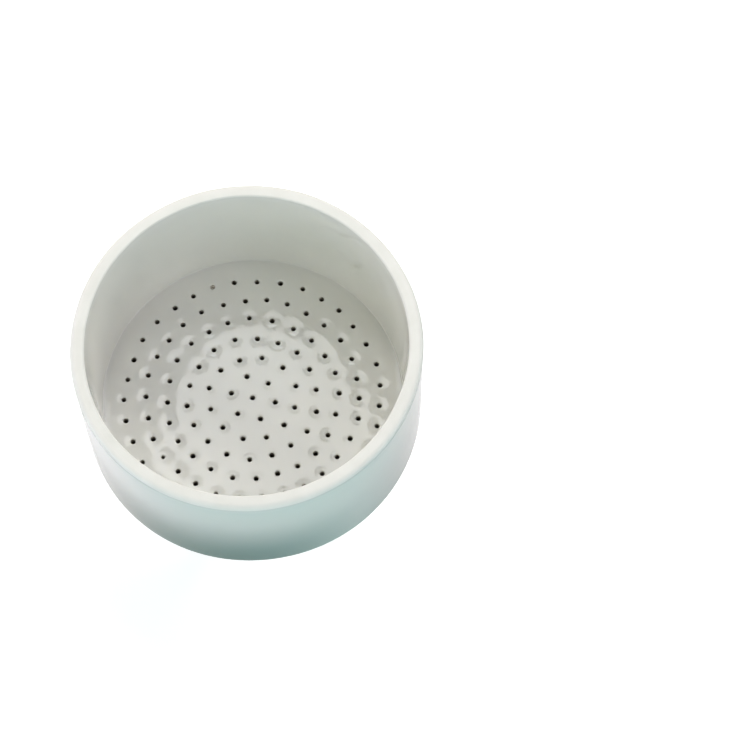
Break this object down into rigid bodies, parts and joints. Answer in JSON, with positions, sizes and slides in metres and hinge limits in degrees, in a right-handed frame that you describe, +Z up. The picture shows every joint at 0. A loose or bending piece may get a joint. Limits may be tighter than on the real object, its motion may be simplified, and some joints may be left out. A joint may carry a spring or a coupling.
{
  "type": "buchner funnel",
  "caption": "Glazed porcelain filter funnel: straight-sided bowl over a flat perforated plate, with a shallow collecting cone and a straight outlet stem.",
  "frame": {"origin": "centre of the stem's open tip, on the funnel's axis", "axes": "+Z up the funnel's axis from the stem's tip to the bowl's rim; X and Y across the bowl, which is round"},
  "size_m": [0.1088, 0.1088, 0.123],
  "materials": {
    "body_glaze": "glossy clear glaze over white porcelain, cool where it pools",
    "plate_glaze": "glossy glaze, dimpled round each perforation",
    "slip": "wiped slip under the same glossy glaze",
    "bare_biscuit": "unglazed rim land, matt and fine-grained"
  },
  "bodies": {
    "root": {"bowl_wall": "body_glaze", "filter_plate": "plate_glaze", "lower_cone": "body_glaze", "outlet_stem": "body_glaze", "plate_seam_bead": "slip", "shoulder_seam_bead": "slip", "neck_coil": "slip"}
  },
  "joints": []
}
